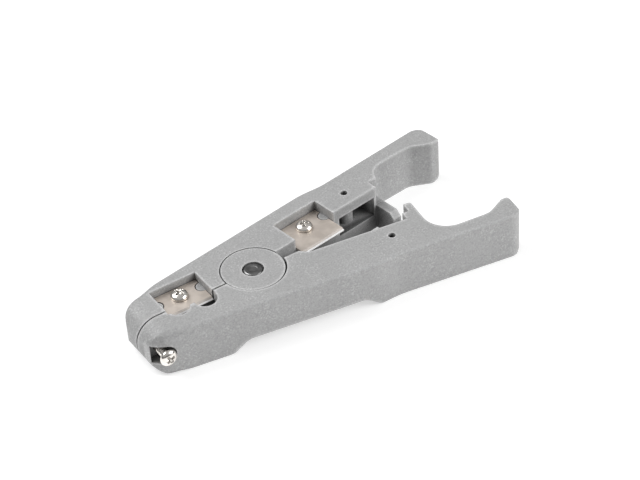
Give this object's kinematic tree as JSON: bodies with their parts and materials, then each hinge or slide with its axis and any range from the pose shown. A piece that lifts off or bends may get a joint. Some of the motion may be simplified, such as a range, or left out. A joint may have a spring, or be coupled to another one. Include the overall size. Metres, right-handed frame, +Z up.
{
  "type": "cable jacket stripper",
  "caption": "Hand-held cable jacket stripper: two sprung plastic halves on a disc hinge, with a blade in the nose, one between the handles and a depth screw.",
  "frame": {"origin": "middle of the overall footprint, on the surface that the tool lies on", "axes": "+X along the tool from the nose to the handles, +Y towards the half that carries the blades, +Z up through the hinge"},
  "size_m": [0.125, 0.056, 0.016],
  "materials": {
    "moulding": "satin",
    "blade_steel": "satin",
    "screw_nickel": "polished",
    "rivet_steel": "satin",
    "spring_steel": "satin"
  },
  "bodies": {
    "near_body": {"near_half": "moulding", "pivot_rivet": "rivet_steel", "rivet_washer": "rivet_steel", "return_spring": "spring_steel"},
    "far_body": {"far_half": "moulding", "front_blade": "blade_steel", "front_blade_screw": "screw_nickel", "rear_blade": "blade_steel", "rear_blade_screw": "screw_nickel"},
    "depth_screw_body": {"depth_screw": "screw_nickel"}
  },
  "joints": [
    {"name": "squeeze", "type": "hinge", "parent": "near_body", "child": "far_body", "pos_m": [-0.021, -0.00045, 0], "axis": [0, 0, -1], "range_deg": [0, 16.5], "stiffness_Nm_per_rad": 0.11, "springref_deg": -68.75, "deforming": ["return_spring"]},
    {"name": "depth_setting", "type": "slide", "parent": "near_body", "child": "depth_screw_body", "axis": [0, -1, 0], "range_m": [0, 0.002]}
  ]
}
